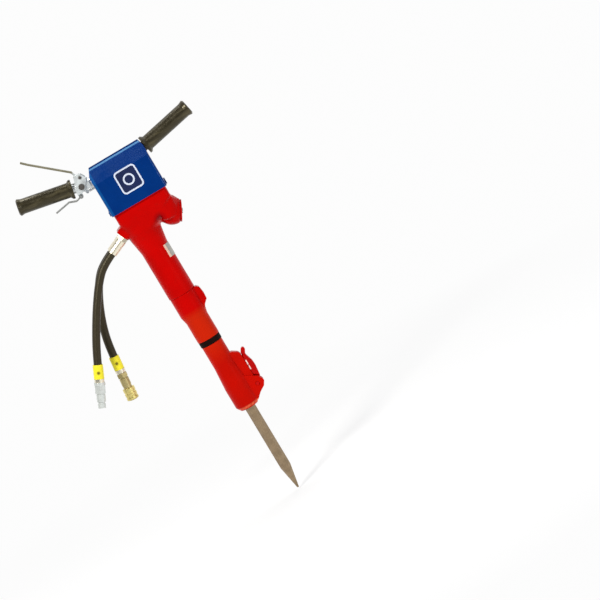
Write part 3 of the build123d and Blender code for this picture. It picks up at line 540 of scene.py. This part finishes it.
# Where the body casting is worn down most, in metres. A pair says where that starts and is full.
BELOW_FLANGE = (0.082, 0.092)               # depth below the bar: under the block's flange
SHOULDER_END, SHOULDER_FADE = 0.20, 0.03    # depth below the bar: above the joint
OFF_PORTS = (-0.048, -0.036)                # x: away from the port faces
BOSS_FACE, BOSS_FADE = 0.090, 0.012         # x: short of the accumulator boss's face


def upper_body(place):
    """1 on the shoulder and bosses, 0 at the block's flange, the port faces and the joint."""
    down = ramp(-place.z, *BELOW_FLANGE) * ramp(SHOULDER_END + place.z, 0.0, SHOULDER_FADE)
    inward = ramp(place.x, *OFF_PORTS) * ramp(BOSS_FACE - place.x, 0.0, BOSS_FADE)
    return down * inward


def both_sides(points):
    """Points in millimetres, and their mirror images across the front plane, in metres."""
    return [(x / 1000, side * y / 1000, z / 1000) for x, y, z in points for side in (-1, 1)]


# The mould fills the corner between the block and the accumulator's boss.
BOSS_WEB = both_sides([
    (55, 47, -103), (90.5, 41, -103), (96, 26, -112), (102, 16, -124), (92, 27, -143),
    (80, 33, -150), (66, 38, -150), (50, 42, -146),
])
cast("casting", "body_casting", RED, voxel=0.0013, rounds=8, weights=upper_body, heavy=60,
     web=BOSS_WEB)
cast("front_housing", "lower_housing", RED, voxel=0.0010, rounds=7)
cast("nose_casting", "nose", RED, voxel=0.0010, rounds=7)
cast("latch", "tool_latch", LATCH, voxel=0.0008, rounds=5, body="latch")

WELD_GAP = 0.00001         # CAD faces' vertices closer than this are one
SHARP = radians(28)        # edges sharper than this are rounded


def soften(name, width):
    """Rounds a CAD node's edges with modifiers: its own mesh stays as it is."""
    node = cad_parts[name]
    node.modifiers.new("weld", "WELD").merge_threshold = WELD_GAP
    bevel = node.modifiers.new("bevel", "BEVEL")
    bevel.width = width
    bevel.segments = 3
    bevel.limit_method = "ANGLE"
    bevel.angle_limit = SHARP
    node.modifiers.new("normals", "WEIGHTED_NORMAL").keep_sharp = True


for edge, names in (
    (0.0012, ("left_grip", "right_grip", "rubber_ring", "trigger_bracket", "accumulator_cap")),
    (0.0008, ("nipple", "coupler_body", "coupler_sleeve", "port_ferrules", "port_adapters",
              "nipple_ferrule", "coupler_ferrule", "chisel", "hose_a_tag", "hose_b_tag")),
    (0.0006, ("trigger_lever", "lock_lever", "cover_screws", "gas_plug", "lock_plug",
              "trigger_pivots", "latch_pin", "lock_pin")),
):
    for node_name in names:
        soften(node_name, edge)


# ---------------------------------------------------------------- badge
def rounded_outline(width, height, radius, steps=8):
    """Corner points of a rounded rectangle, counter-clockwise."""
    points = []
    for corner in range(4):
        side_x = 1 if corner in (0, 3) else -1
        side_z = 1 if corner < 2 else -1
        for step in range(steps + 1):
            angle = (corner + step / steps) * pi / 2
            points.append((
                side_x * (width / 2 - radius) + radius * cos(angle),
                side_z * (height / 2 - radius) + radius * sin(angle),
            ))
    return points


def plate(name, centre, outline, thickness, material, edge, body=ROOT):
    """A flat plate standing in front of a face that looks along -Y."""
    maker = bmesh.new()
    face = maker.faces.new([
        maker.verts.new((centre[0] + x, centre[1], centre[2] + z)) for x, z in outline
    ])
    grown = bmesh.ops.extrude_face_region(maker, geom=[face])
    moved = [item for item in grown["geom"] if isinstance(item, bmesh.types.BMVert)]
    bmesh.ops.translate(maker, verts=moved, vec=(0, -thickness, 0))
    bmesh.ops.recalc_face_normals(maker, faces=maker.faces)
    mesh = bpy.data.meshes.new(name)
    maker.to_mesh(mesh)
    maker.free()
    piece = add_piece(name, mesh, material, body, smooth=False)
    bevel = piece.modifiers.new("bevel", "BEVEL")
    bevel.width = edge
    bevel.segments = 2
    bevel.limit_method = "ANGLE"
    return piece


def polygon(radius, sides, turn=0.0):
    """Corner points of a regular polygon, counter-clockwise."""
    angles = [turn + 2 * pi * i / sides for i in range(sides)]
    return [(radius * cos(angle), radius * sin(angle)) for angle in angles]


FIELD = (0.0465, 0.0485, 0.0058)      # width, height and corner radius of the dark field
FIELD_BACK = 0.001                    # behind the badge's front face
PLATE, HAIR_EDGE = 0.0005, 0.0001     # thickness of the badge's plates, and their bevel
RINGS = (("badge_ring", 0.0135, 0.0004, WHITE), ("badge_eye", 0.0095, 0.0008, BADGE))

badge_low, badge_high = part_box("badge")
badge_centre = Vector(((badge_low[0] + badge_high[0]) / 2, badge_low[1] + FIELD_BACK,
                       (badge_low[2] + badge_high[2]) / 2))
plate("badge_field", badge_centre, rounded_outline(*FIELD), PLATE, BADGE,
      HAIR_EDGE)
for name, radius, forward, material in RINGS:
    plate(name, badge_centre - Vector((0, forward, 0)), polygon(radius, 64), PLATE, material,
          HAIR_EDGE)

# ---------------------------------------------------------------- trigger bolt
BOLT_X, BOLT_Z = -0.0635, 0.0335
BOLT_R, BOLT_HEAD, BOLT_EDGE = 0.0042, 0.0022, 0.0005
cheek_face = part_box("trigger_lever")[0][1]
plate("trigger_bolt", (BOLT_X, cheek_face, BOLT_Z), polygon(BOLT_R, 6, pi / 6), BOLT_HEAD, DARK,
      BOLT_EDGE, "trigger")

# ---------------------------------------------------------------- studio
PALE, DIM = (0.98, 0.98, 0.98), (0.22, 0.225, 0.23)   # surroundings behind and in front
TURN = 0.35                      # how gradually one becomes the other, in the Y of a direction
LIT, PALE_REACH = (0.2, 1.6), (3, 5)     # distances: the floor's own shading and its pale part end
FLOOR_HALF, FLOOR_DROP = 60, 0.004
AIM = Vector((0, 0, -0.3))
LAMPS = (
    ("key", (-1.3, -2.3, 1.5), 0.6, 74, (1.0, 0.98, 0.95)),
    ("fill", (2.0, -2.4, 0.1), 1.0, 30, (0.94, 0.97, 1.0)),
    ("top", (0.3, 0.3, 2.2), 0.8, 20, (1.0, 1.0, 1.0)),
)


def backward(look):
    """0 in the directions in front of the tool, 1 in those behind it."""
    way = look.node("ShaderNodeVectorMath", {0: look.place}, operation="NORMALIZE").outputs[0]
    return look.band(look.node("ShaderNodeSeparateXYZ", {0: way}).outputs["Y"], -TURN, TURN)


def make_floor():
    """A lit floor round the tool that fades into a glow like that of the surroundings."""
    mesh = bpy.data.meshes.new("floor")
    maker = bmesh.new()
    bmesh.ops.create_grid(maker, x_segments=2, y_segments=2, size=FLOOR_HALF)
    maker.to_mesh(mesh)
    maker.free()
    floor = bpy.data.objects.new("floor", mesh)
    floor.location = (0, 0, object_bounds()[0][2] - FLOOR_DROP)
    bpy.context.collection.objects.link(floor)
    look = Look("floor_pale", (0.82, 0.82, 0.82), 0.95)
    look.put("Specular IOR Level", 0.1)
    look.feed("Base Color", look.mix(look.noise(3, 5), (0.88, 0.88, 0.88), (0.92, 0.92, 0.92)))
    away = look.node("ShaderNodeVectorMath", {0: look.place}, operation="LENGTH").outputs["Value"]
    pale = look.maths("MAXIMUM", backward(look), look.band(away, *PALE_REACH, 1, 0))
    glow = look.node("ShaderNodeEmission", {"Color": look.mix(pale, DIM, PALE)}).outputs[0]
    fade = look.band(away, *LIT, 0.6, 1)
    mixer = look.node("ShaderNodeMixShader", {0: fade, 1: look.shader.outputs[0], 2: glow})
    look.tree.links.new(mixer.outputs[0], look.tree.nodes["Material Output"].inputs["Surface"])
    floor.data.materials.append(look.material)


class Room(Look):
    """The world's own tree, with the same helpers as a material."""

    def __init__(self, world):
        world.use_nodes = True
        self.tree = world.node_tree
        self.place = self.tree.nodes.new("ShaderNodeTexCoord").outputs["Generated"]


def make_lights():
    """The surroundings and three lamps, each given as name, place, size, watts and colour."""
    world = bpy.data.worlds.new("studio")
    room = Room(world)
    sky = room.mix(backward(room), DIM, PALE)
    room.tree.links.new(sky, room.tree.nodes["Background"].inputs["Color"])
    bpy.context.scene.world = world
    bpy.context.scene.view_settings.view_transform = "Standard"
    for name, place, size, power, colour in LAMPS:
        data = bpy.data.lights.new(name, "AREA")
        data.size = size
        data.energy = power
        data.color = colour
        lamp = bpy.data.objects.new(name, data)
        lamp.location = place
        lamp.rotation_euler = (AIM - lamp.location).to_track_quat("-Z", "Y").to_euler()
        bpy.context.collection.objects.link(lamp)


make_floor()
make_lights()
